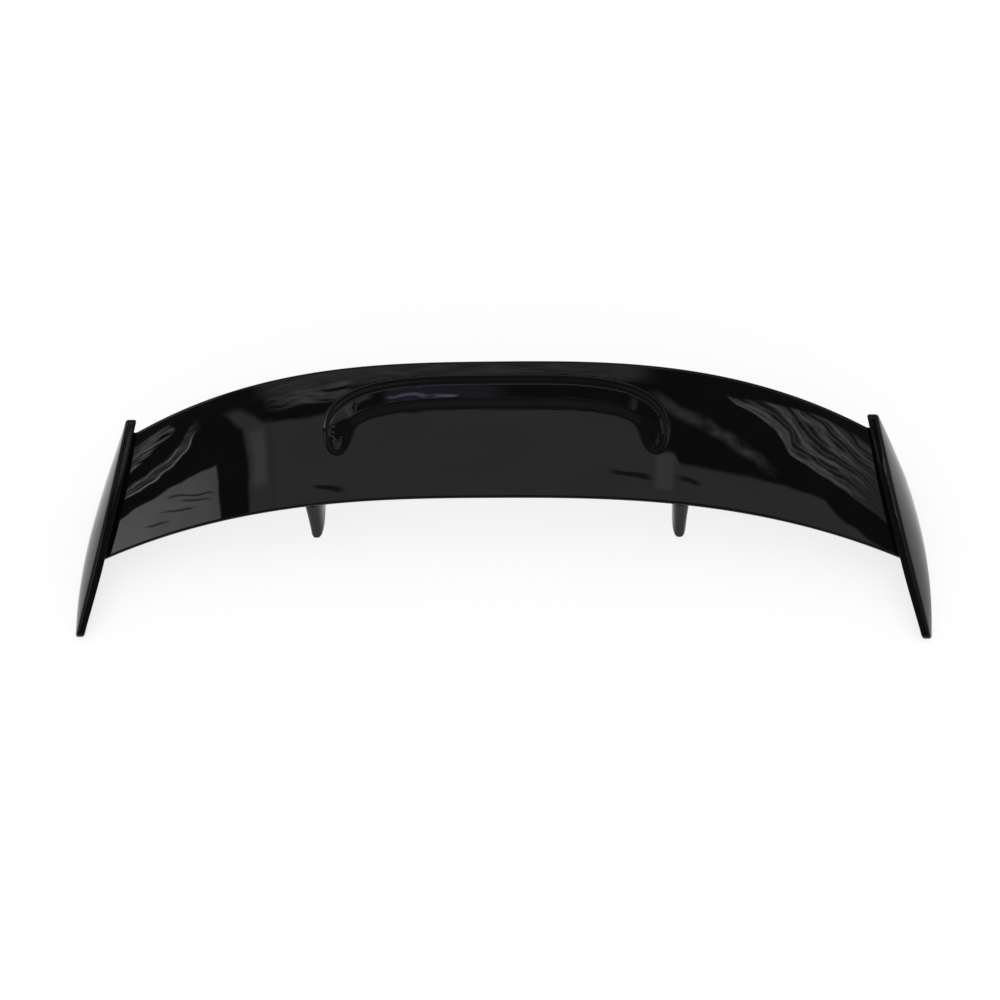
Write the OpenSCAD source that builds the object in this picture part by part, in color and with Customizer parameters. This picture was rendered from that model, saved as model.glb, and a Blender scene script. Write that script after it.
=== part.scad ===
// Rear spoiler for a car's boot lid: one gloss moulding in mm.
// +X across the car, +Y to the car's rear, +Z up. It stands on its two end plates.
// The blade with its raised arch and the two splayed end plates are one skin over
// rings of points; the two legs are joined to it.

/* [Blade] */
// Rearmost point of the trailing edge, measured back from the tips of the end plates
depth = 346.5; // [300:400]
// How far the trailing edge curves forward from the middle to its ends
trailing_sweep = 78.5; // [40:110]
// Fore-and-aft distance from leading to trailing edge in the middle
blade_run = 178; // [150:200]
// How far the leading edge curves forward from the middle to its ends
leading_sweep = 66.5; // [40:90]
// Height of the leading edge in the middle
leading_height = 104.3; // [90:120]
// Height of the trailing edge in the middle
trailing_height = 177.2; // [160:200]
// How far the blade's ends hang below its middle
crown = 62.6; // [55:66]
// How late the droop and the sweep begin: 2 is a round arc, 4 is flat with turned-down ends
droop_power = 2.75; // [2.2:3.4]
// Thickness of the rounded lips along both long edges
lip_thickness = 5.5; // [4:8]
// How deep the underside bulges below the lips
belly = 15; // [8:20]
// How deep the top is hollowed between the lips
top_hollow = 3; // [0:5]

/* [Raised arch] */
// Half the width of the arch, to the middle of its legs
arch_half_span = 222; // [180:240]
// Place of the arch's top between leading edge 0 and trailing edge 1
arch_place = 0.76; // [0.7:0.8]
// How far the arch's legs run forward, as a part of the blade's depth
arch_drop = 0.375; // [0.3:0.42]
// Height of the arch above the blade
arch_height = 10; // [5:14]
// Half the width of the raised band at the middle
arch_band = 21; // [14:24]
// How much wider, to each side, the band is at its corners
arch_corner = 7; // [0:10]
// Half the width of the raised band at the noses of its legs
arch_nose = 11.5; // [8:16]
// Squareness of the arch: 2 is an ellipse, more is squarer
arch_squareness = 4; // [3:6]

/* [End plates] */
// Width over both end plates, at their feet
overall_width = 1210; // [1120:1300]
// Length of a plate's foot on the car
foot_length = 240; // [210:250]
// How much the feet bow outward between their ends
foot_bow = 10.2; // [5:13]
// Height of a plate's rear top corner
plate_height = 134.5; // [124:140]
// Distance of that corner from the plate's front tip, along the car
plate_top_reach = 288.5; // [278:304]
// How much further apart the feet are than the rear top corners, on one side
plate_splay = 76.7; // [65:95]
// How far the rim bends inward between its ends, seen from above
rim_hollow = 2.5; // [0:8]
// Thickness of a plate
plate_thickness = 15.6; // [11:18]
// Thickness of a plate at its front tip
tip_thickness = 12.5; // [9:16]
// Height of the front tip
tip_height = 10; // [8:14]
// Radius that rounds all the plate's edges
edge_radius = 3.6; // [2:4.5]
// Radius of the lower rear corner
rear_corner = 8; // [5:20]
// How far the outer face bulges
outer_bulge = 6; // [0:8]
// Width of the fillet between blade and plate
fillet = 9; // [5:14]

/* [Legs] */
// Distance of the legs from the middle
leg_place = 257; // [240:290]
// Height of the legs' feet above the feet of the end plates
leg_foot_height = 45; // [38:55]
// Width of a leg at its foot
leg_width = 19; // [16:26]
// Width of a leg where it meets the blade
leg_root_width = 27.5; // [22:34]
// Length of a foot along the car
leg_length = 92; // [80:110]
// Distance of a foot's nose in front of the blade's leading edge
leg_reach = 27; // [10:32]
// Radius of the screw hole in a foot
screw_radius = 2.1; // [1.5:3]
// Depth of the screw hole
screw_depth = 25; // [15:30]

/* [Hidden] */
lip = lip_thickness / 2;
half_width = overall_width / 2;
trailing_power = droop_power + 0.15;
leading_power = droop_power - 0.05;
// the rim of a plate runs straight from its front tip to its rear top corner
rim_slope = (plate_height - tip_height) / plate_top_reach;
top_x = half_width - plate_splay;       // outside of the rear top corner
tip_x = half_width - foot_bow + 6.2;     // outside of the front tip
rear_foot_x = half_width - foot_bow - 4; // outside of the foot's rear end

function mix(a, b, t) = a + (b - a) * t;
function clamp(v) = max(0, min(1, v));
// quarter round that starts at 1 for t = 0 and leaves level at t = 1
function cove(t) = t >= 1 ? 0 : 1 - sqrt(1 - pow(1 - max(0, t), 2));

function rim_z(y) = tip_height + rim_slope * y;
function rim_x(y) = mix(tip_x - 4, top_x, y / plate_top_reach)
    - rim_hollow * 4 * clamp(y / plate_top_reach) * (1 - clamp(y / plate_top_reach));
function foot_x(y) = mix(tip_x, rear_foot_x, y / foot_length)
    + foot_bow * 4 * clamp(y / foot_length) * (1 - clamp(y / foot_length))
    - max(0, y - foot_length) * 0.35;
function plate_at(y) = plate_thickness
    - (plate_thickness - tip_thickness) * pow(1 - clamp(y / (0.3 * plate_top_reach)), 1.5);
// outer face of a plate at one place in its side view
function outer_x(y, z) = let (f = clamp((rim_z(y) - z) / rim_z(y)))
    mix(rim_x(y), foot_x(y), f) + outer_bulge * 4 * f * (1 - f) * clamp(y / 150);
function inner_x(y, z) = outer_x(y, z) - plate_at(y);

// blade edges at a part s of the half span: 0 in the middle, 1 at a plate
lead_end_y = depth - blade_run - leading_sweep;
trail_end_y = depth - trailing_sweep;
lead_end_x = inner_x(lead_end_y, leading_height - crown);
trail_end_x = inner_x(trail_end_y, trailing_height - crown);
// distance from the plate's inner face, made into the shape of the fillet
function near_plate(s, x_end) = cove((1 - abs(s)) * x_end / fillet);
function lead(s) = [lead_end_x * s,
    depth - blade_run - leading_sweep * pow(abs(s), leading_power)
        - 0.35 * fillet * near_plate(s, lead_end_x),
    leading_height - crown * pow(abs(s), droop_power)];
function trail(s) = [trail_end_x * s,
    depth - trailing_sweep * pow(abs(s), trailing_power)
        + 0.9 * fillet * near_plate(s, trail_end_x),
    trailing_height - crown * pow(abs(s), droop_power)];

// the right half of the arch's middle line as a quarter of a squared ellipse: mm across, mm
// along the blade's depth, and half the band's width, at each point
arch_steps = 18;
chord = norm([blade_run, trailing_height - leading_height]);
function squared(v) = pow(1 - pow(v, arch_squareness), 1 / arch_squareness);
arch_turn = pow(0.5, 1 / arch_squareness);
function arch_point(q, w) = [arch_half_span * q, chord * (arch_place - arch_drop * w),
    arch_band + arch_corner * 2.6 * sqrt(w) * (1 - w) - (arch_band - arch_nose) * pow(w, 5)];
arch_line = concat(
    [for (i = [0:arch_steps]) let (q = arch_turn * i / arch_steps)
        arch_point(q, 1 - squared(q))],
    [for (i = [1:arch_steps]) let (v = arch_turn * (1 - i / arch_steps))
        arch_point(squared(v), 1 - v)]);
// distance of [x, c] from the line between two points of it, in parts of the band's width
function nearness(x, c, a, b) = let (
        d = [b[0] - a[0], b[1] - a[1]], r = [x - a[0], c - a[1]],
        t = clamp((r * d) / (d * d)))
    norm(r - t * d) / mix(a[2], b[2], t);
function arch_rise(x, c) = let (
        near = min([for (i = [1:len(arch_line) - 1])
            nearness(abs(x), c, arch_line[i - 1], arch_line[i])]))
    near >= 1 ? 0 : arch_height * pow(1 - pow(near, 3.2), 1.15);

// places along the blade's depth where its top has points: close together under the arch
top_places = concat(
    [for (i = [0:2]) 0.1 * i], [for (i = [0:23]) mix(0.3, 0.94, i / 23)], [0.97, 1]);
top_steps = len(top_places) - 1;
under_steps = 10;
lip_steps = 4;
// one closed section of the blade; the one on the plate takes the plate's own shape
function blade_section(s, on_plate = false) = let (
        a = lead(s), b = trail(s), run = b - a,
        d = [0, run[1], run[2]] / norm([run[1], run[2]]),
        n = [0, -d[2], d[1]],
        a2 = a + d * lip, b2 = b - d * lip,
        g = near_plate(s, mid_x),
        raw = concat(
            [for (u = top_places) let (h = 4 * u * (1 - u),
                    p = mix(a2, b2, u),
                    to_rim = (rim_z(p[1]) - p[2]) * rim_cos - edge_radius - 0.8)
                p + n * (mix(lip - top_hollow * h, to_rim, g * min(1, 3 * h))
                    + arch_rise(p[0], u * chord))],
            [for (i = [1:lip_steps - 1]) let (w = 90 - 180 * i / lip_steps)
                b2 + lip * (d * cos(w) + n * sin(w))],
            [for (i = [0:under_steps]) let (u = 1 - i / under_steps,
                    h = sin(180 * pow(u, 0.8)),
                    p = mix(a2, b2, u))
                p - n * (lip + belly * h + 0.7 * fillet * g * h)],
            [for (i = [1:lip_steps - 1]) let (w = -90 - 180 * i / lip_steps)
                a2 + lip * (d * cos(w) + n * sin(w))]))
    on_plate ? [for (p = raw) [inner_x(p[1], p[2]), p[1], p[2]]] : raw;

// places across the blade: close together on the arch's legs and beside the plates
mid_x = (lead_end_x + trail_end_x) / 2;
fine_from = 0.66 * arch_half_span;
fine_to = arch_half_span + 2.6 * arch_nose;
coarse_to = mid_x - fillet - 6;
half_places = concat(
    [for (i = [1:4]) fine_from * i / 4],
    [for (i = [1:18]) mix(fine_from, fine_to, i / 18)],
    [for (i = [1:8]) mix(fine_to, coarse_to, i / 8)],
    [for (i = [0:3]) mid_x - fillet * pow(1 - i / 4, 1.6)]);

// side view of a plate, shrunk by inset, with as many points as a blade section:
// the rim, the rear top corner, the rear edge, the lower corner, the foot, the tip
rim_angle = atan(rim_slope);
rim_cos = cos(rim_angle);
top_corner = edge_radius + 0.8;
rear_line = [foot_length + 3 - plate_top_reach, -plate_height];
rear_in = [rear_line[1], -rear_line[0]] / norm(rear_line);
rear_angle = atan2(-rear_in[1], -rear_in[0]);
rim_in = [sin(rim_angle), -cos(rim_angle)];
tip_radius = tip_height * rim_cos / (1 + (1 - rim_slope) * rim_cos);
tip_mid = [tip_radius, tip_radius];
low_mid = [foot_length + 3 + rear_corner * (1 - rear_in[1]) / rear_in[0], rear_corner];
// where lines top_corner inside the rim and inside the rear edge cross
top_mid = let (k = rim_in[0] * rear_in[1] - rim_in[1] * rear_in[0])
    [plate_top_reach, plate_height]
    + top_corner * [rear_in[1] - rim_in[1], rim_in[0] - rear_in[0]] / k;
function on_arc(mid, r, w) = mid + r * [cos(w), sin(w)];
function outline(inset) = let (
        rt = tip_radius - inset, rr = top_corner - inset, rl = rear_corner - inset,
        up = 90 + rim_angle,
        a = on_arc(tip_mid, rt, up), b = on_arc(top_mid, rr, up),
        c = on_arc(top_mid, rr, rear_angle), e = on_arc(low_mid, rl, rear_angle),
        f = on_arc(low_mid, rl, -90), g = on_arc(tip_mid, rt, -90),
        foot_steps = under_steps - 6)
    concat(
        [for (u = top_places) mix(a, b, u)],
        [for (i = [1:lip_steps - 1]) on_arc(top_mid, rr, mix(up, rear_angle, i / lip_steps))],
        [for (i = [0:3]) mix(c, e, i / 3)],
        [for (i = [1:2]) on_arc(low_mid, rl, mix(rear_angle, -90, i / 3))],
        [for (i = [0:foot_steps]) mix(f, g, i / foot_steps)],
        [for (i = [1:lip_steps - 1]) on_arc(tip_mid, rt, mix(-90, up - 360, i / lip_steps))]);

// rings of a right-hand plate, from the blade's end over the rim to the outer face
plate_mid = [0.62 * plate_top_reach, 0.34 * plate_height];
function inner_ring(at, inset, out) = [for (q = at)
    [inner_x(q[0], q[1]) + out, q[0], q[1]]];
function outer_ring(at, back) = [for (q = at)
    [outer_x(q[0], q[1]) - back, q[0], q[1]]];
blade_end = blade_section(1, true);
plate_rings = let (r = edge_radius, edge = outline(r))
    concat(
        [blade_end],
        [for (f = [0.35, 0.7]) [for (i = [0:len(edge) - 1])
            let (q = mix([blade_end[i][1], blade_end[i][2]], edge[i], f))
            [inner_x(q[0], q[1]), q[0], q[1]]]],
        [for (w = [0, 30, 60, 90]) inner_ring(outline(r * (1 - sin(w))), 0, r * (1 - cos(w)))],
        [for (w = [90, 60, 30, 0]) outer_ring(outline(r * (1 - sin(w))), r * (1 - cos(w)))],
        [for (f = [0.22, 0.5, 0.78]) outer_ring([for (q = edge) mix(q, plate_mid, f)], 0)]);
plate_centre = [outer_x(plate_mid[0], plate_mid[1]), plate_mid[0], plate_mid[1]];
function flipped(ring) = [for (p = ring) [-p[0], p[1], p[2]]];

// skin over closed rings with equal numbers of points, closed at both ends by a point
module skin(rings, first, last) {
    k = len(rings[0]);
    m = len(rings);
    polyhedron(
        points = concat([for (s = rings) for (p = s) p], [first, last]),
        faces = concat(
            [for (j = [0:k - 1]) [m * k, j, (j + 1) % k]],
            [for (i = [0:m - 2]) for (j = [0:k - 1])
                let (a = i * k + j, b = i * k + (j + 1) % k)
                for (t = [[a, a + k, b + k], [a, b + k, b]]) t],
            [for (j = [0:k - 1]) [m * k + 1, (m - 1) * k + (j + 1) % k, (m - 1) * k + j]]),
        convexity = 6);
}

// blade and both end plates in one skin, from the right plate's outer face to the left's
module wing() {
    last = len(half_places) - 1;
    rings = len(plate_rings) - 1;
    skin(concat(
            [for (i = [rings:-1:0]) plate_rings[i]],
            [for (i = [last:-1:0]) blade_section(half_places[i] / mid_x)],
            [blade_section(0)],
            [for (i = [0:last]) blade_section(-half_places[i] / mid_x)],
            [for (i = [0:rings]) flipped(plate_rings[i])]),
        plate_centre, [-plate_centre[0], plate_centre[1], plate_centre[2]]);
}

// one closed section of a leg at a part h of its height, 0 at the foot; the last one
// lies inside the blade, a lip's thickness under its hollowed top
leg_steps = 11;
leg_lead = lead(leg_place / mid_x);
blade_slope = (trailing_height - leading_height) / blade_run;
function leg_end(y) = let (u = clamp((y - leg_lead[1]) / blade_run))
    leg_lead[2] + blade_slope * (y - leg_lead[1]) - top_hollow * 4 * u * (1 - u);
function foil(t) = 2.969 * sqrt(t) - 1.26 * t - 3.516 * t * t
    + 2.843 * pow(t, 3) - 1.015 * pow(t, 4) + 0.22 * t;
function leg_section(h, inset) = let (
        nose = leg_lead[1] + lip - (leg_reach + lip) * (1 - h) + inset,
        long = leg_length + 20 * h - 2 * inset,
        w = mix(leg_width, leg_root_width, pow(h, 1.5)) / 2 - inset,
        cx = leg_place + 2 * h,
        place = function (t, side) let (y = nose + long * t)
            [cx + side * w * foil(t), y,
             mix(leg_foot_height, leg_end(y), h)])
    concat(
        [for (i = [1:leg_steps]) place(pow(i / leg_steps, 2), 1)],
        [for (i = [leg_steps:-1:0]) place(pow(i / leg_steps, 2), -1)]);

module leg() {
    rise = 1.2 / (leg_lead[2] - leg_foot_height);
    screw_y = leg_lead[1] - leg_reach + 0.4 * leg_length;
    skin([leg_section(0, 1.2), leg_section(0.35 * rise, 0.4), leg_section(rise, 0),
        leg_section(0.25, 0), leg_section(0.5, 0), leg_section(0.75, 0),
        leg_section(1, 0)],
        [leg_place, screw_y, leg_foot_height],
        [leg_place + 2, screw_y, leg_end(screw_y)]);
}

module both_sides() {
    children();
    mirror([1, 0, 0]) children();
}

module spoiler() {
    color([0.02, 0.02, 0.022])
    translate([0, -depth / 2, 0])
    difference() {
        // keeps the stated width, whatever the curves come to
        resize([overall_width, 0, 0])
        union() {
            wing();
            both_sides() leg();
        }
        both_sides()
            translate([leg_place, leg_lead[1] - leg_reach + 0.4 * leg_length,
                leg_foot_height - 1])
            cylinder(r = screw_radius, h = screw_depth + 1);
    }
}

spoiler();
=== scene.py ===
# %% [markdown]
# # A gloss black boot-lid spoiler
# The real thing is one plastic moulding: a long bowed blade with a raised arch on its top, an end
# plate at each end that leans outward down to the boot lid, and two slim legs under the front edge.
# The imported model is loaded first, because it gives the box that everything below has to fit. Its
# solid stays in the scene but is hidden, while a smoother skin with the same form is shown in its place.

# %% Load the frame
import math
import bmesh
import bpy
from mathutils import Matrix, Vector


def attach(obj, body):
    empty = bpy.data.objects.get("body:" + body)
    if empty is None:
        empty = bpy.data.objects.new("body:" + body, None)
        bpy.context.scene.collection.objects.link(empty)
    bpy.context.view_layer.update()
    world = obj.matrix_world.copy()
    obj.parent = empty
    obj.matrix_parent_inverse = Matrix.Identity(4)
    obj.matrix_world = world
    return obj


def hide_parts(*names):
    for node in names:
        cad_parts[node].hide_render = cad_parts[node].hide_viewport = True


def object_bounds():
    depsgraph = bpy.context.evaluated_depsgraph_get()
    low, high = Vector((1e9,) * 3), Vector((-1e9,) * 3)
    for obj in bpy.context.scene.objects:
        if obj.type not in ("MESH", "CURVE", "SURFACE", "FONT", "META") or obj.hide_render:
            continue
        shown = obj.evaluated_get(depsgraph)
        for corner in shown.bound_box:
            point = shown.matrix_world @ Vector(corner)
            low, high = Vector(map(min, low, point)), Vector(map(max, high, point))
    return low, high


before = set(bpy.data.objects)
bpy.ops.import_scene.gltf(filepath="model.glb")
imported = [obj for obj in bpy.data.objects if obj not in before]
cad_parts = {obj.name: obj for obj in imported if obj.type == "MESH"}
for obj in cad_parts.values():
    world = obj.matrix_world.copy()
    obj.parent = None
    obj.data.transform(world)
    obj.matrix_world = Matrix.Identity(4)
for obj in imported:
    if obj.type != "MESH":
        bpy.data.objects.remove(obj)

cad_low, cad_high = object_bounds()
print("frame box in mm:", [round(1000 * v) for v in cad_high - cad_low])

# %% [markdown]
# ## The camera
# The camera stands high in front of the spoiler, 63 degrees above the floor and a little to its
# right. It is tipped a few degrees as well, which brings both ends of the object to nearly the same
# height in the frame. A constraint could aim it, but a tipped camera is easier to set by its matrix,
# which holds three directions in its columns: its right, its up and its back. A small lens shift
# then slides the object to its place in the frame.

# %% Set the camera
TURN, RISE, ROLL = math.radians(8.38), math.radians(62.72), math.radians(7.62)
DISTANCE, LENS, SENSOR, SHIFT_X, SHIFT_Y = 2.1753, 55.61, 36, 0.0032, 0.0242
LOOK_AT = Vector((0.0008, -0.023, 0.060))

ahead = Vector((-math.sin(TURN) * math.cos(RISE), math.cos(TURN) * math.cos(RISE), -math.sin(RISE)))
level = Vector((math.cos(TURN), math.sin(TURN), 0))
upward = level.cross(ahead)
right = level * math.cos(ROLL) - upward * math.sin(ROLL)
above = level * math.sin(ROLL) + upward * math.cos(ROLL)

camera = bpy.data.objects.new("camera", bpy.data.cameras.new("camera"))
bpy.context.scene.collection.objects.link(camera)
camera.matrix_world = Matrix.Translation(LOOK_AT - ahead * DISTANCE) @ Matrix(
    (right, above, -ahead)).transposed().to_4x4()
camera.data.lens = LENS
camera.data.sensor_width = SENSOR
camera.data.shift_x = SHIFT_X
camera.data.shift_y = SHIFT_Y
bpy.context.scene.camera = camera
print("camera at", [round(v, 3) for v in camera.location])

# %% [markdown]
# ## The curves that the moulding follows
# All the forms come from a few lines, in millimetres. Here y runs from the tips of the end plates to
# the rear, z up from their feet and x from the middle to the right. The blade hangs between a
# leading and a trailing edge, which sweep forward and droop towards the ends. An end plate has a
# slightly hollow rim on top, a bowed foot and a leaning outer face that bulges between them.

# %% Sizes of the blade and the end plates
DEPTH, WIDTH = 346.5, 1210.0
BLADE_RUN, LEAD_SWEEP, TRAIL_SWEEP = 178.0, 66.5, 78.5
LEAD_HEIGHT, TRAIL_HEIGHT, CROWN = 104.3, 177.2, 62.6
DROOP, LEAD_BEND, TRAIL_BEND = 2.75, 2.70, 2.90
LIP, BELLY, BELLY_SHIFT, HOLLOW = 2.75, 15.0, 0.8, 3.0
FOOT_LENGTH, FOOT_BOW, PLATE_HEIGHT, PLATE_REACH = 240.0, 10.2, 134.5, 288.5
PLATE_THICK, TIP_THICK, TIP_PART, TIP_HEIGHT, RIM_HOLLOW = 15.6, 12.5, 0.3, 10.0, 2.5
TOP_INSET, TIP_OUTSET, REAR_INSET, TIP_LEAN, REAR_LEAN = 76.7, 6.2, 4.0, 4.0, 0.35
BULGE, BULGE_FULL_AT, FOOT_REST = 6.0, 150.0, 3.0
EDGE, RIM_STEP, REAR_CORNER, FILLET = 3.6, 0.8, 8.0, 9.0
RIM_SLOPE = (PLATE_HEIGHT - TIP_HEIGHT) / PLATE_REACH
RIM_COS = math.cos(math.atan(RIM_SLOPE))
TOP_X = WIDTH / 2 - TOP_INSET
TIP_X = WIDTH / 2 - FOOT_BOW + TIP_OUTSET
REAR_FOOT_X = WIDTH / 2 - FOOT_BOW - REAR_INSET
print("the plates lean out by", round(TIP_X - TOP_X), "mm")


# %% Faces of the right end plate
def mix(a, b, t):
    return a + (b - a) * t


def clamp(t):
    return max(0.0, min(1.0, t))


def rim_z(y):
    return TIP_HEIGHT + RIM_SLOPE * y


def outer_x(y, z):
    """The outer face of the right end plate at one place of its side view."""
    down = clamp((rim_z(y) - z) / rim_z(y))
    t = clamp(y / PLATE_REACH)
    rim = mix(TIP_X - TIP_LEAN, TOP_X, y / PLATE_REACH) - 4 * RIM_HOLLOW * t * (1 - t)
    t = clamp(y / FOOT_LENGTH)
    foot = (mix(TIP_X, REAR_FOOT_X, y / FOOT_LENGTH) + 4 * FOOT_BOW * t * (1 - t)
            - REAR_LEAN * max(0.0, y - FOOT_LENGTH))
    return mix(rim, foot, down) + 4 * BULGE * down * (1 - down) * clamp(y / BULGE_FULL_AT)


def inner_x(y, z):
    """The inner face: it runs beside the outer one, and closer to it near the tip."""
    thinner = (PLATE_THICK - TIP_THICK) * (1 - clamp(y / (TIP_PART * PLATE_REACH))) ** 1.5
    return outer_x(y, z) - PLATE_THICK + thinner


LEAD_END = inner_x(DEPTH - BLADE_RUN - LEAD_SWEEP, LEAD_HEIGHT - CROWN)
TRAIL_END = inner_x(DEPTH - TRAIL_SWEEP, TRAIL_HEIGHT - CROWN)
MIDDLE_END = (LEAD_END + TRAIL_END) / 2
print("blade ends at the plates:", round(LEAD_END), "and", round(TRAIL_END), "mm from the middle")


# %% Edges of the blade
def cove(s, end):
    """1 at a plate and 0 a fillet's width away from it, along a quarter round."""
    t = (1 - abs(s)) * end / FILLET
    return 0.0 if t >= 1 else 1 - math.sqrt(1 - (1 - t) ** 2)


def lead(s):
    """The leading edge at a part s of the half span: 0 in the middle, 1 at the right plate."""
    swept = DEPTH - BLADE_RUN - LEAD_SWEEP * abs(s) ** LEAD_BEND
    return Vector((LEAD_END * s, swept - 0.35 * FILLET * cove(s, LEAD_END),
                   LEAD_HEIGHT - CROWN * abs(s) ** DROOP))


def trail(s):
    """The trailing edge at the same part of the half span."""
    swept = DEPTH - TRAIL_SWEEP * abs(s) ** TRAIL_BEND
    return Vector((TRAIL_END * s, swept + 0.9 * FILLET * cove(s, TRAIL_END),
                   TRAIL_HEIGHT - CROWN * abs(s) ** DROOP))


print("blade is", round((trail(0) - lead(0)).length, 1), "mm deep along its slope")

# %% [markdown]
# ## The raised arch
# On the real spoiler a band stands proud of the blade's top, flat across the middle and bent forward
# at both ends into rounded noses, towards which it sinks a little. A separate piece laid on the
# blade would show a seam that a moulding doesn't have, so the arch is a height added to the blade's
# own points. It is worked out from how near a point of the top lies to the arch's middle line: it is
# level near the line, and soft slopes carry it down to the blade.

# %% Middle line of the arch
ARCH_SPAN, ARCH_PLACE, ARCH_DROP, SQUARE = 221.5, 0.785, 0.37, 4
ARCH_BAND, ARCH_CORNER, ARCH_NOSE = 23.5, 0.8, 12.0
ARCH_HEIGHT, ARCH_FALL, ARCH_SLOPE = 5.5, 0.6, 0.56
ARCH_STEPS = 30
CHORD = math.hypot(BLADE_RUN, TRAIL_HEIGHT - LEAD_HEIGHT)


def squared(v):
    return (1 - v ** SQUARE) ** (1 / SQUARE)


def arch_point(q, w):
    """Place across and along the depth, half the band's width and its height, w down the arch."""
    widened = 2.6 * ARCH_CORNER * math.sqrt(w) * (1 - w)
    return (ARCH_SPAN * q, CHORD * (ARCH_PLACE - ARCH_DROP * w),
            ARCH_BAND + widened - (ARCH_BAND - ARCH_NOSE) * w ** 5, ARCH_HEIGHT * (1 - ARCH_FALL * w))


halfway = 0.5 ** (1 / SQUARE)
arch_line = [arch_point(halfway * i / ARCH_STEPS, 1 - squared(halfway * i / ARCH_STEPS))
             for i in range(ARCH_STEPS + 1)]
arch_line += [arch_point(squared(halfway * i / ARCH_STEPS), 1 - halfway * i / ARCH_STEPS)
              for i in range(ARCH_STEPS - 1, -1, -1)]
print(len(arch_line), "points along each half of the arch")

# %% Height of the arch over the blade
ARCH_OUT, ARCH_FRONT = ARCH_SPAN + 28, 0.25 * CHORD


def arch_rise(x, c):
    """Height of the arch at x across and c along the blade's depth from its leading edge."""
    x = abs(x)
    if x > ARCH_OUT or c < ARCH_FRONT:
        return 0.0
    best, tall = 9.0, ARCH_HEIGHT
    for (ax, ac, aw, ah), (bx, bc, bw, bh) in zip(arch_line, arch_line[1:]):
        dx, dc = bx - ax, bc - ac
        t = clamp(((x - ax) * dx + (c - ac) * dc) / (dx * dx + dc * dc))
        near = math.hypot(x - ax - t * dx, c - ac - t * dc) / mix(aw, bw, t)
        if near < best:
            best, tall = near, mix(ah, bh, t)
    t = clamp((1 - best) / ARCH_SLOPE)
    return tall * t * t * (3 - 2 * t)


print("arch stands", round(arch_rise(0, ARCH_PLACE * CHORD), 1), "mm proud in the middle")

# %% [markdown]
# ## Sections of the blade
# The blade could be a subdivided box, but its hollow top, its lips and its belly all change along
# the span. So it is drawn as a row of closed sections, like ribs. Each runs over the top from the
# leading to the trailing edge, round the rear lip, back along the underside and round the front lip.
# The last one lies on the end plate, whose rim it meets with a fillet.

# %% One section
TOP, ROUND, UNDER = 110, 8, 28


def blade_section(s, on_plate=False):
    """The section at a part s of the half span, laid on the plate's inner face if asked."""
    a, b = lead(s), trail(s)
    d = Vector((0, b.y - a.y, b.z - a.z)).normalized()
    n = Vector((0, -d.z, d.y))
    a2, b2 = a + d * LIP, b - d * LIP
    g = cove(s, MIDDLE_END)
    ring = []
    for i in range(TOP + 1):
        u = i / TOP
        h = 4 * u * (1 - u)
        p = a2.lerp(b2, u)
        to_rim = (rim_z(p.y) - p.z) * RIM_COS - EDGE - RIM_STEP
        up = mix(LIP - HOLLOW * h, to_rim, g * min(1, 3 * h))
        ring.append(p + n * (up + arch_rise(p.x, u * CHORD)))
    for i in range(1, ROUND):
        w = math.radians(90 - 180 * i / ROUND)
        ring.append(b2 + LIP * (d * math.cos(w) + n * math.sin(w)))
    for i in range(UNDER + 1):
        u = 1 - i / UNDER
        h = math.sin(math.pi * u ** BELLY_SHIFT)
        ring.append(a2.lerp(b2, u) - n * (LIP + BELLY * h + 0.7 * FILLET * g * h))
    for i in range(1, ROUND):
        w = math.radians(-90 - 180 * i / ROUND)
        ring.append(a2 + LIP * (d * math.cos(w) + n * math.sin(w)))
    return [Vector((inner_x(p.y, p.z), p.y, p.z)) for p in ring] if on_plate else ring


def between(a, b, count):
    """Places from a to b in equal steps, without a itself."""
    return [mix(a, b, i / count) for i in range(1, count + 1)]


# Sections stand close together where the arch turns and where the fillet starts
FINE_FROM, FINE_TO, COARSE_TO = 0.55 * ARCH_SPAN, ARCH_SPAN + 30, MIDDLE_END - FILLET - 6
stations = between(0, FINE_FROM, 14) + between(FINE_FROM, FINE_TO, 72) + between(FINE_TO, COARSE_TO, 30)
stations += [MIDDLE_END - FILLET * (1 - i / 10) ** 1.6 for i in range(10)]
print(len(stations), "sections on each side of the middle one")

# %% [markdown]
# ## Outlines of an end plate
# Seen from the side, a plate is a wedge: a short round tip in front, a sloping rim, a rounded corner
# at the top rear, a leaning rear edge and a long foot. A bevel could round its edges, but the blade
# grows out of the same skin, so the outline itself does it: it shrinks a little at a time while it
# moves outward.

# %% Corners of the outline
rim_angle = math.atan(RIM_SLOPE)
corner = EDGE + RIM_STEP
rear_foot_y = FOOT_LENGTH + FOOT_REST
rear_line = Vector((rear_foot_y - PLATE_REACH, -PLATE_HEIGHT))
rear_in = Vector((rear_line.y, -rear_line.x)).normalized()
rear_angle = math.degrees(math.atan2(-rear_in.y, -rear_in.x))
rim_in = Vector((math.sin(rim_angle), -math.cos(rim_angle)))
tip_radius = TIP_HEIGHT * RIM_COS / (1 + (1 - RIM_SLOPE) * RIM_COS)
tip_mid = Vector((tip_radius, tip_radius))
low_mid = Vector((rear_foot_y + REAR_CORNER * (1 - rear_in.y) / rear_in.x, REAR_CORNER))
cross = rim_in.x * rear_in.y - rim_in.y * rear_in.x
top_mid = Vector((PLATE_REACH, PLATE_HEIGHT)) + corner / cross * Vector(
    (rear_in.y - rim_in.y, rim_in.x - rear_in.x))
print("the tip's radius is", round(tip_radius, 1), "mm, the rear edge leans at", round(rear_angle))

# %% The outline of a plate
REAR_STEPS, LOW_STEPS = 7, 6
FOOT_STEPS = UNDER - REAR_STEPS - LOW_STEPS


def on_arc(mid, radius, degrees):
    w = math.radians(degrees)
    return mid + radius * Vector((math.cos(w), math.sin(w)))


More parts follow.
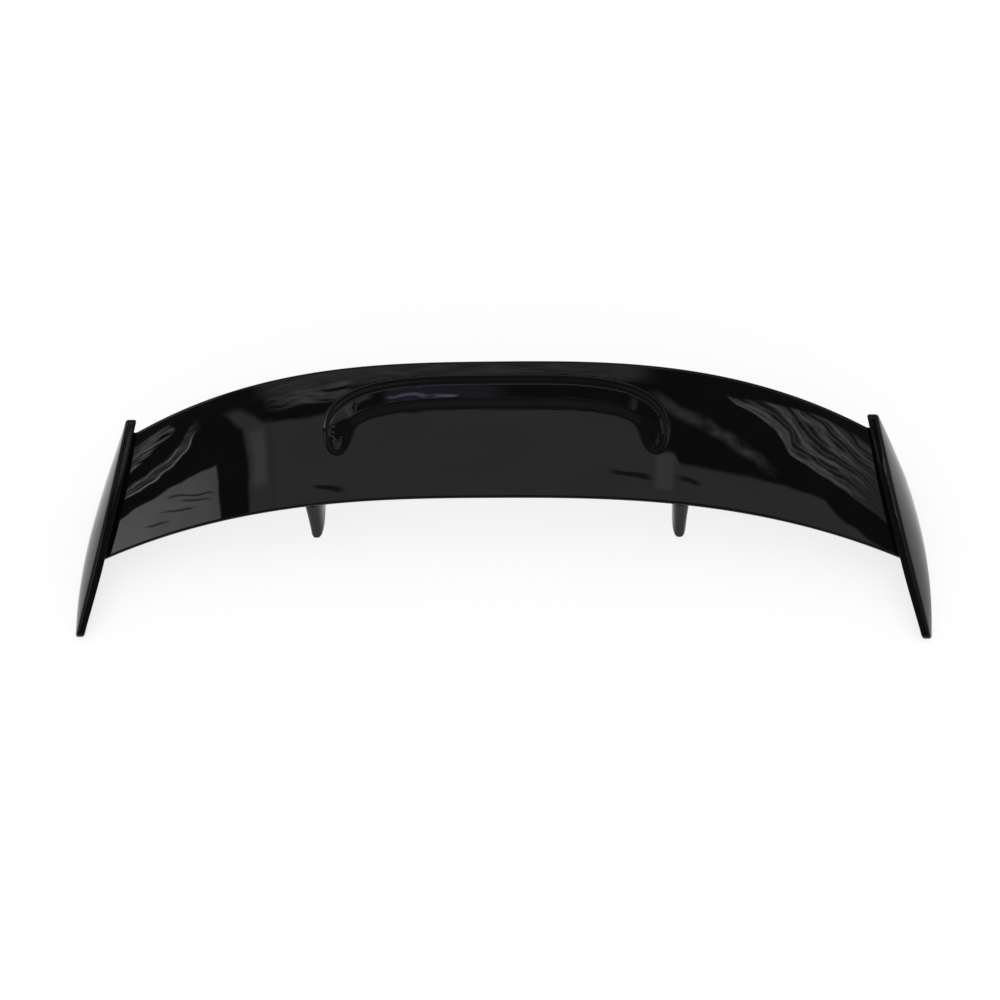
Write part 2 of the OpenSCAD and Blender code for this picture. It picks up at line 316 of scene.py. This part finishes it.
def outline(inset):
    """The plate's outline, shrunk by an inset, with as many points as a section of the blade."""
    tip, top, low = tip_radius - inset, corner - inset, REAR_CORNER - inset
    up = 90 + math.degrees(rim_angle)
    a, b = on_arc(tip_mid, tip, up), on_arc(top_mid, top, up)
    c, e = on_arc(top_mid, top, rear_angle), on_arc(low_mid, low, rear_angle)
    f, g = on_arc(low_mid, low, -90), on_arc(tip_mid, tip, -90)
    return ([a.lerp(b, i / TOP) for i in range(TOP + 1)]
            + [on_arc(top_mid, top, mix(up, rear_angle, i / ROUND)) for i in range(1, ROUND)]
            + [c.lerp(e, i / REAR_STEPS) for i in range(REAR_STEPS + 1)]
            + [on_arc(low_mid, low, mix(rear_angle, -90, i / LOW_STEPS)) for i in range(1, LOW_STEPS)]
            + [f.lerp(g, i / FOOT_STEPS) for i in range(FOOT_STEPS + 1)]
            + [on_arc(tip_mid, tip, mix(-90, up - 360, i / ROUND)) for i in range(1, ROUND)])


print(len(outline(0)), "points round a plate,", len(blade_section(0)), "round the blade")


# %% Rings of a plate
def on_inner(flat, inward=0):
    """Lay an outline on the inner face, or a little way into the plate from it."""
    return [Vector((inner_x(q.x, q.y) + inward, q.x, q.y)) for q in flat]


def on_outer(flat, inward=0):
    return [Vector((outer_x(q.x, q.y) - inward, q.x, q.y)) for q in flat]


def plate_rings():
    """Rings of the right plate, from the blade's end over the rim to the outer face."""
    end, edge = blade_section(1, True), outline(EDGE)
    rings = [end]
    for f in (0.12, 0.25, 0.4, 0.55, 0.7, 0.85):
        rings.append(on_inner([Vector((p.y, p.z)).lerp(q, f) for p, q in zip(end, edge)]))
    for w in range(0, 91, 15):
        w = math.radians(w)
        rings.append(on_inner(outline(EDGE * (1 - math.sin(w))), EDGE * (1 - math.cos(w))))
    for w in range(90, -1, -15):
        w = math.radians(w)
        rings.append(on_outer(outline(EDGE * (1 - math.sin(w))), EDGE * (1 - math.cos(w))))
    centre = Vector((0.62 * PLATE_REACH, 0.34 * PLATE_HEIGHT))
    for f in (0.1, 0.22, 0.36, 0.5, 0.64, 0.78, 0.9, 1):
        rings.append(on_outer([q.lerp(centre, f) for q in edge]))
    return rings


side = plate_rings()
stretch = WIDTH / 2 / max(p.x for ring in side for p in ring)
print(len(side), "rings in a plate, stretched by", round(stretch, 5), "to the full width")

# %% [markdown]
# ## From a grid to a skin
# The rings could be joined in pairs with bridge_loops, but a flat grid is a quicker start for such a
# skin: its rows become the rings and its columns run along them. Each vertex is moved to its place,
# then vertices that have come together are merged, which closes the tube along its seam and shuts
# both ends.

# %% Roll a grid into a closed skin
MERGE = 1e-7


def to_row(p):
    """From millimetres behind the plates' tips to the frame's metres."""
    return Vector((p.x * stretch, p.y - DEPTH / 2, p.z)) / 1000


def skin(bm, rings):
    columns = len(rings[0])
    made = bmesh.ops.create_grid(bm, x_segments=columns, y_segments=len(rings) - 1, size=0.5)["verts"]
    made.sort(key=lambda v: (round(v.co.y, 6), round(v.co.x, 6)))
    for i, v in enumerate(made):
        v.co = to_row(rings[i // (columns + 1)][i % (columns + 1) % columns])
    bmesh.ops.remove_doubles(bm, verts=made, dist=MERGE)


def flipped(ring):
    """The same ring on the left half."""
    return [Vector((-p.x, p.y, p.z)) for p in ring]


bm = bmesh.new()
rings = side[::-1] + [blade_section(x / MIDDLE_END) for x in stations[::-1]]
rings += [blade_section(0)] + [blade_section(-x / MIDDLE_END) for x in stations]
rings += [flipped(ring) for ring in side]
skin(bm, rings)
print("blade and plates:", len(bm.faces), "faces")

# %% [markdown]
# ## The legs
# Each leg of the real part is a strut with the plan of a streamlined profile, blunt in front and
# narrow behind. It grows a little towards the blade and ends inside it. A cylinder could be squeezed
# into such a strut, but rings give its flare, which stands for the fillet, and its slanting top at
# once. Its foot has a small screw hole, whose wall and bottom are simply the first rings of its skin.

# %% Shape of a leg
LEG_X, LEG_FOOT, LEG_WIDTH, LEG_ROOT, LEG_LONG, LEG_REACH = 257.0, 45.0, 19.0, 27.5, 92.0, 23.5
LEG_GROWTH, LEG_LEAN, LEG_EDGE, LEG_MIDDLE, FOIL = 20.0, 2.0, 1.2, 0.4, 24
SCREW_RADIUS, SCREW_DEPTH, SCREW_PLACE, SCREW_CHAMFER = 2.1, 25.0, 9.8, 0.4
leg_lead = lead(LEG_X / MIDDLE_END)
slope = (TRAIL_HEIGHT - LEAD_HEIGHT) / BLADE_RUN
screw = Vector((LEG_X, leg_lead.y + SCREW_PLACE))


def leg_end(y):
    """Height of the strut's upper end, a lip's thickness under the blade's hollowed top."""
    u = clamp((y - leg_lead.y) / BLADE_RUN)
    return leg_lead.z + slope * (y - leg_lead.y) - HOLLOW * 4 * u * (1 - u)


def foil(t):
    """Half the thickness of a streamlined profile with a narrow tail, about 1 at its thickest."""
    smooth = 2.969 * math.sqrt(t) - 1.26 * t - 3.516 * t * t + 2.843 * t ** 3 - 1.015 * t ** 4
    return (smooth + 0.22 * t) ** 0.7


def leg_section(h, inset, shut=0.0):
    """One section at a part h of the height, drawn together to its middle by shut."""
    nose = leg_lead.y + LIP - (LEG_REACH + LIP) * (1 - h) + inset
    long = LEG_LONG + LEG_GROWTH * h - 2 * inset
    half = mix(LEG_WIDTH, LEG_ROOT, h ** 1.5) / 2 - inset
    x = LEG_X + LEG_LEAN * h
    mid = Vector((x, mix(screw.y, nose + LEG_MIDDLE * long, h), 0))
    mid.z = mix(LEG_FOOT, leg_end(mid.y), h)
    ring = []
    for i in list(range(1, FOIL + 1)) + list(range(FOIL, -1, -1)):
        t = (i / FOIL) ** 2
        out = 1 if len(ring) < FOIL else -1
        y = nose + long * t
        p = Vector((x + out * half * foil(t), y, mix(LEG_FOOT, leg_end(y), h)))
        ring.append(p.lerp(mid, shut))
    return ring


def bore_ring(radius, depth):
    """A circle up inside the foot, with its points in the directions of the foot's outline."""
    mid = Vector((screw.x, screw.y, LEG_FOOT))
    return [mid + radius * (p - mid).normalized() + Vector((0, 0, depth))
            for p in leg_section(0, LEG_EDGE)]


print("the screw goes", SCREW_DEPTH, "mm up into each leg")

# %% Two legs
rise = LEG_EDGE / (leg_lead.z - LEG_FOOT)
leg = [bore_ring(0, SCREW_DEPTH), bore_ring(SCREW_RADIUS, SCREW_DEPTH),
       bore_ring(SCREW_RADIUS, SCREW_CHAMFER), bore_ring(SCREW_RADIUS + SCREW_CHAMFER, 0),
       bore_ring(SCREW_RADIUS + LEG_EDGE, 0), leg_section(0, LEG_EDGE)]
for w in (30, 60, 90):
    w = math.radians(w)
    leg.append(leg_section(rise * (1 - math.cos(w)), LEG_EDGE * (1 - math.sin(w))))
leg += [leg_section(mix(rise, 1, i / 10), 0) for i in range(1, 11)] + [leg_section(1, 0, 1)]
skin(bm, leg)
skin(bm, [flipped(ring) for ring in leg])
print("with the legs:", len(bm.faces), "faces")


# %% Finish the mesh and hand it to the frame
def to_object(bm, name):
    """Turn a bmesh into an object in the scene."""
    mesh = bpy.data.meshes.new(name)
    bm.to_mesh(mesh)
    bm.free()
    made = bpy.data.objects.new(name, mesh)
    bpy.context.scene.collection.objects.link(made)
    print(name, len(mesh.polygons), "faces")
    return made


reach = [max(v.co[k] / cad_high[k] for v in bm.verts) for k in (1, 2)]
bmesh.ops.scale(bm, verts=bm.verts, vec=(1, min(1, 1 / reach[0]), min(1, 1 / reach[1])))
print("eased into the solid's box by", [round(r, 5) for r in reach])
bmesh.ops.dissolve_degenerate(bm, edges=bm.edges, dist=MERGE)
bmesh.ops.recalc_face_normals(bm, faces=bm.faces)
spoiler = to_object(bm, "spoiler_skin")
spoiler.data.shade_smooth()
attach(spoiler, "root")
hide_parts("spoiler")


# %% [markdown]
# ## Shader maths as plain expressions
# A material is easier to read as a sum than as a web of nodes. This small class wraps a socket, so
# that `a * b + 1` adds the Math nodes by itself. Any other node comes from `node`.

# %% A socket that can be calculated with
class Value:
    def __init__(self, tree, socket):
        self.tree, self.socket = tree, socket

    def node(self, kind, settings=None, output=0, **sockets):
        """Add a node: its settings, then its sockets by name, or by number as i0, i1 and so on."""
        made = self.tree.nodes.new(kind)
        for key, value in (settings or {}).items():
            if key == "points":
                curve = made.mapping.curves[0]
                while len(curve.points) < len(value):
                    curve.points.new(0.5, 0.5)
                for point, target in zip(curve.points, value):
                    point.location, point.handle_type = target, "VECTOR"
                made.mapping.update()
            else:
                setattr(made, key, value)
        for key, value in sockets.items():
            place = int(key[1:]) if key[0] == "i" and key[1:].isdigit() else key.replace("_", " ")
            if isinstance(value, Value):
                self.tree.links.new(value.socket, made.inputs[place])
            else:
                made.inputs[place].default_value = value
        return Value(self.tree, made.outputs[output])

    def other(self, output):
        """Another output of the node that this value comes from."""
        return Value(self.tree, self.socket.node.outputs[output])

    def math(self, operation, *others):
        names = {"i%d" % (i + 1): other for i, other in enumerate(others)}
        return self.node("ShaderNodeMath", {"operation": operation}, i0=self, **names)

    def __add__(self, other):
        return self.math("ADD", other)

    __radd__ = __add__

    def __mul__(self, other):
        return self.math("MULTIPLY", other)

    __rmul__ = __mul__

    def __sub__(self, other):
        return self.math("SUBTRACT", other)

    def __rsub__(self, other):
        return self.node("ShaderNodeMath", {"operation": "SUBTRACT"}, i0=other, i1=self)

    def __truediv__(self, other):
        return self.math("DIVIDE", other)


def start(owner, kind="ShaderNodeOutputMaterial"):
    """An empty node tree on a material or world, with its output node."""
    owner.use_nodes = True
    owner.node_tree.nodes.clear()
    return Value(owner.node_tree, None), owner.node_tree.nodes.new(kind)


def show(value, output):
    """Link the finished shader to the output node."""
    value.tree.links.new(value.socket, output.inputs["Surface"])
    print("finished with", len(value.tree.nodes), "nodes")


# %% [markdown]
# ## The gloss black plastic
# The moulding is black right through and polished like glass. A dark colour and a clear coat could
# show that, but one layer is enough here, because only its reflections show its form. So the finish
# is nearly all in them: low roughness with faint patches, and a slow waviness of a few hundredths of
# a millimetre, which makes straight reflections wander a little.

# %% Gloss black
gloss = bpy.data.materials.new("gloss_black")
use, output = start(gloss)
place = use.node("ShaderNodeTexCoord", output=3)
patches = use.node("ShaderNodeTexNoise", Vector=place, Scale=9.0, Detail=3.0)
waves = use.node("ShaderNodeTexNoise", Vector=place, Scale=14.0, Detail=1.0)
bumped = use.node("ShaderNodeBump", Strength=0.35, Distance=0.0004, Height=waves)
shader = use.node("ShaderNodeBsdfPrincipled", Base_Color=(0.002, 0.002, 0.0022, 1),
                  Roughness=patches * 0.012 + 0.004, IOR=1.4, Normal=bumped)
show(shader, output)
spoiler.data.materials.append(gloss)

# %% [markdown]
# ## The floor
# The spoiler stands on a wide white floor. More lamps could make it white, but they would light the
# object too, so the floor is a little bright of its own to the camera and in reflections. Both show
# a white floor then, and it still takes the object's soft shadow.

# %% The floor
FLOOR_HALF = 6
bm = bmesh.new()
bmesh.ops.create_grid(bm, x_segments=1, y_segments=1, size=FLOOR_HALF)
floor = to_object(bm, "floor")

white = bpy.data.materials.new("white_floor")
use, output = start(white)
seen = use.node("ShaderNodeLightPath", output="Is Camera Ray")
mirrored = seen.other("Is Glossy Ray")
cloth = use.node("ShaderNodeBsdfDiffuse", Color=(0.95, 0.95, 0.95, 1))
glow = use.node("ShaderNodeEmission", Color=(1, 1, 1, 1), Strength=1.0)
show(use.node("ShaderNodeMixShader", i0=seen * 0.75 + mirrored * 0.2, i1=cloth, i2=glow), output)
floor.data.materials.append(white)

# %% [markdown]
# ## The room in the mirror
# A gloss black part shows almost nothing but what stands around it. The blade's gentle curves look
# at a small patch of the room over and in front of it. Boards and lamps could stand there, but each
# would also light the object, so the patch is drawn in the world: a wide grey ceiling panel, a
# bright panel on the left, and a screen with wavy edges on the right. Each direction is turned into
# a spot on a flat ceiling one unit high, with `across` to the right and `back` to the rear, and soft
# steps then cut the panels out of the dark.

# %% Where a direction meets the ceiling
LOWEST = 0.02
world = bpy.data.worlds.new("studio")
bpy.context.scene.world = world
use, output = start(world, "ShaderNodeOutputWorld")
toward = use.node("ShaderNodeTexCoord")
sideways = use.node("ShaderNodeSeparateXYZ", Vector=toward)
steep = sideways.other("Z").math("MAXIMUM", LOWEST)
across = sideways / steep
back = sideways.other("Y") / steep


def tell(what):
    print(what, "drawn, the world has", len(world.node_tree.nodes), "nodes")


tell("the ceiling")


# %% Tools to draw with
LINE_SIDE, LINE_DEEP = 0.8, 0.4


def step(value, place, soft):
    """0 below a place and 1 above it, with a soft change between."""
    return value.node("ShaderNodeMapRange", {"interpolation_type": "SMOOTHSTEP"}, Value=value,
                      From_Min=place - soft, From_Max=place + soft)


def band(value, low, high, soft):
    return step(value, low, soft) * (1 - step(value, high, soft))


def spot(left, right, soft, front, rear, soft_depth, x=across, y=back):
    """A rectangle on the ceiling with soft edges, or a bent one if x or y wander."""
    return band(x, left, right, soft) * band(y, front, rear, soft_depth)


def paint(sky, light, where):
    """Lay a light over the sky where the mask is 1."""
    return sky * (1 - where) + where * light


def wobbles(scale_x, scale_y, detail):
    """Three independent slow noises around 0, from the three channels of one texture."""
    place = use.node("ShaderNodeCombineXYZ", X=across * scale_x, Y=back * scale_y)
    noise = use.node("ShaderNodeTexNoise", output=1, Vector=place, Scale=1.0, Detail=detail)
    red = use.node("ShaderNodeSeparateColor", Color=noise)
    return red - 0.5, red.other("Green") - 0.5, red.other("Blue") - 0.5


def line(points):
    """A line across the ceiling: how far back it lies at each place across."""
    flat = [((x + LINE_SIDE) / (2 * LINE_SIDE), (y + LINE_DEEP) / LINE_DEEP) for x, y in points]
    return use.node("ShaderNodeFloatCurve", {"points": flat},
                    Value=(across + LINE_SIDE) * (0.5 / LINE_SIDE)) * LINE_DEEP - LINE_DEEP


slow, slower, calm = wobbles(14, 20, 1)
fine, finer, thin = wobbles(45, 60, 2)
strand, strand2, strand3 = wobbles(18, 150, 2)
tell("three noises")

# %% The wide grey panel
PANEL_LIGHT, PANEL_LEFT, PANEL_RIGHT = 0.47, -0.402, 0.60
sky = 0.035 + slow * 0.03
ripple = slower * 0.010
lower = line([(-0.8, -0.275), (0.09, -0.275), (0.105, -0.222), (0.135, -0.219), (0.145, -0.205),
              (0.25, -0.200), (0.35, -0.195), (0.42, -0.185), (0.45, -0.165), (0.8, -0.05)])
panel = step(back, lower + ripple, 0.004) * band(across + ripple * 0.5, PANEL_LEFT, PANEL_RIGHT, 0.005)
sky = paint(sky, PANEL_LIGHT + calm * 0.08, panel)
for middle, place, half in ((-0.262, -0.172, 0.022), (0.072, -0.189, 0.026), (0.160, -0.184, 0.016)):
    mark = spot(middle - half, middle + half, 0.010, place - 0.003, place + 0.003, 0.0015,
                y=back + (middle - across) * 0.15)
    sky = paint(sky, 0.10, mark)
sky = paint(sky, 0.78, spot(-0.392, -0.365, 0.008, -0.275, -0.185, 0.012))
sky = paint(sky, 0.40, spot(-0.362, -0.350, 0.004, -0.28, -0.10, 0.01) * 0.7)
sky = paint(sky, 0.72, spot(0.105, 0.135, 0.005, -0.218, -0.172, 0.006))
sky = paint(sky, 0.5, spot(-0.395, -0.360, 0.010, -0.312, -0.268, 0.010, x=across + (back + 0.27) * -0.9))
tell("the grey panel")

# %% Bands of light low over the rear edge
top_band = spot(-0.35, 0.075, 0.03, -0.345, -0.318, 0.004, x=across + slow * 0.03, y=back + strand2 * 0.01)
sky = paint(sky, 0.42 + strand * 0.8, top_band)
curl = spot(-0.352, -0.225, 0.012, -0.320, -0.294, 0.004, y=back + calm * 0.02)
sky = paint(sky, 0.60 + strand2 * 2.8, curl)
tint = spot(-0.196, -0.068, 0.010, -0.311, -0.284, 0.004)
sky = paint(sky, 0.18, tint)
glint = spot(-0.190, -0.105, 0.006, -0.2985, -0.2955, 0.0012, y=back + fine * 0.006)
sky = paint(sky, 1.2 + finer * 3, glint)
tell("the bands of light")

# %% The bright panel on the left
LEFT_EDGE = -0.468
slant = -0.2300 - (across - LEFT_EDGE) * 0.16
left = step(back, slant + ripple, 0.003) * (1 - step(across + ripple * 0.3, -0.470, 0.004))
sky = paint(sky, 1.15 - (across - LEFT_EDGE) * 2.2 + slow * 0.5, left)
for middle, place, half in ((-0.54, -0.187, 0.055), (-0.53, -0.176, 0.030), (-0.575, -0.165, 0.040),
                            (-0.64, -0.150, 0.030)):
    stroke = spot(middle - half, middle + half, 0.015, place - 0.002, place + 0.002, 0.002,
                  y=back + (middle - across) * 0.10 + calm * 0.012)
    sky = paint(sky, 0.30 + fine, stroke)
tell("the bright panel")

# %% Streaks behind the bright panel
wave = calm * 0.020 + fine * 0.004
bend = (across + 0.67).math("MAXIMUM", 0)
crest = back - (-0.2380 - bend * bend * 1.9 + wave)
halo = spot(-0.715, -0.490, 0.02, -0.0215, 0.0035, 0.0025, y=crest)
sky = paint(sky, 0.45 + strand * 1.2, halo)
sky = paint(sky, 2.4 + fine * 3, spot(-0.705, -0.500, 0.012, -0.0015, 0.0020, 0.0013, y=crest))
second = spot(-0.690, -0.535, 0.015, -0.0185, -0.0155, 0.0013, y=crest + fine * 0.004)
sky = paint(sky, 1.6 + thin * 3, second)
edge_low = -0.2830 - (across + 0.68) * 0.30 + wave
corner_light = (1 - step(back, edge_low, 0.004)) * (1 - step(across + wave, -0.530, 0.006))
sky = paint(sky, 0.80 + strand3 * 5.0, corner_light)
tell("the streaks")

# %% The wavy screen on the right
rim_line = line([(-0.8, -0.40), (0.17, -0.345), (0.215, -0.310), (0.29, -0.285), (0.312, -0.268),
                 (0.328, -0.250), (0.36, -0.240), (0.40, -0.230), (0.50, -0.205), (0.57, -0.185),
                 (0.61, -0.160), (0.66, -0.10), (0.8, -0.02)])
inside = rim_line - back + slow * 0.005
under = step(back, -0.318 - (across - 0.21).math("MAXIMUM", 0) * 0.19, 0.003)
folds = (inside * 205 + calm * 8 + fine * 2.2).math("SINE") * 0.5 + 0.5
threads = (inside * 560 + slow * 14 + thin * 3).math("SINE") * 0.5 + 0.5
fade = 1 - step(across, 0.47, 0.07)
woven = threads * threads * threads * (fade + 0.25) * 0.40
sky = paint(sky, 0.30 - fade * 0.18 + folds * folds * fade * 0.75 + woven, step(inside, 0, 0.002) * under)
hem = band(inside, 0, 0.004, 0.002) * under * (1 - step(across, 0.42, 0.05))
sky = paint(sky, 1.1 + fine * 3, hem)
tell("the screen")

# %% A faint streak beside the arch
drift = 0.40 * (across - 0.16) - 0.276
faint = spot(0.105, 0.31, 0.02, -0.004, 0.012, 0.006, y=back - drift + slower * 0.01) * 0.9
sky = paint(sky, 0.50 + finer * 1.6 - (across - 0.16) * 1.2, faint)
tell("the faint streak")

# %% The rest of the room
# Beyond the drawn patch the room is dark, and low over the floor it grows light again, in front and
# behind. Only mirrored rays look at this picture. Soft light comes from a plain white sky.
MIRROR_LEVEL, SKY_LEVEL = 1.44, 1.08
sky = paint(sky, 0.07, step(back, -0.075, 0.02))
sky = paint(sky, 0.06, 1 - step(back, -0.350, 0.010))
sky = paint(sky, 0.12, 1 - step(back, -0.90, 0.15))
sky = paint(sky, 0.16, 1 - band(across, -1.0, 0.9, 0.1))
sky = paint(sky, 0.80, step(back, 1.5, 0.6))
sky = paint(sky, 0.16, 1 - step(back, -3.6, 0.8))
mirrored = use.node("ShaderNodeLightPath", output="Is Glossy Ray")
plain = use.node("ShaderNodeBackground", Color=(1, 1, 1, 1), Strength=SKY_LEVEL)
violet = use.node("ShaderNodeMix", {"data_type": "RGBA"}, output=2, i0=tint, i6=(1, 1, 1, 1),
                  i7=(1.1, 1.02, 1.55, 1))
shine = use.node("ShaderNodeBackground", Color=violet, Strength=(sky * MIRROR_LEVEL).math("MAXIMUM", 0.0))
show(use.node("ShaderNodeMixShader", i0=mirrored, i1=plain, i2=shine), output)

# %% [markdown]
# ## The lamps
# Two large soft boxes stand behind the spoiler, left and right. They are weak, because the sky gives
# most of the light, and they are behind so that the arch and the blade don't mirror them.

# %% Two soft boxes
BOX_SIZE, BOX_WATTS = 2.6, 3


def softbox(name, at):
    lamp = bpy.data.lights.new(name, "AREA")
    lamp.shape = "RECTANGLE"
    lamp.size = lamp.size_y = BOX_SIZE
    lamp.energy = BOX_WATTS
    made = bpy.data.objects.new(name, lamp)
    facing = (-Vector(at)).to_track_quat("-Z", "Y").to_matrix().to_4x4()
    made.matrix_world = Matrix.Translation(at) @ facing
    bpy.context.scene.collection.objects.link(made)
    print(name, "of", BOX_WATTS, "W at", at)


softbox("left_box", (-2.0, 2.4, 1.5))
softbox("right_box", (2.0, 2.4, 1.5))
bpy.context.scene.view_settings.view_transform = "Standard"

# %% [markdown]
# ## The solid's box
# The shown skin has to fill the same box as the solid that it stands for.

# %% Print the solid's box
print("CAD box", [round(1000 * v, 1) for v in cad_low], [round(1000 * v, 1) for v in cad_high])
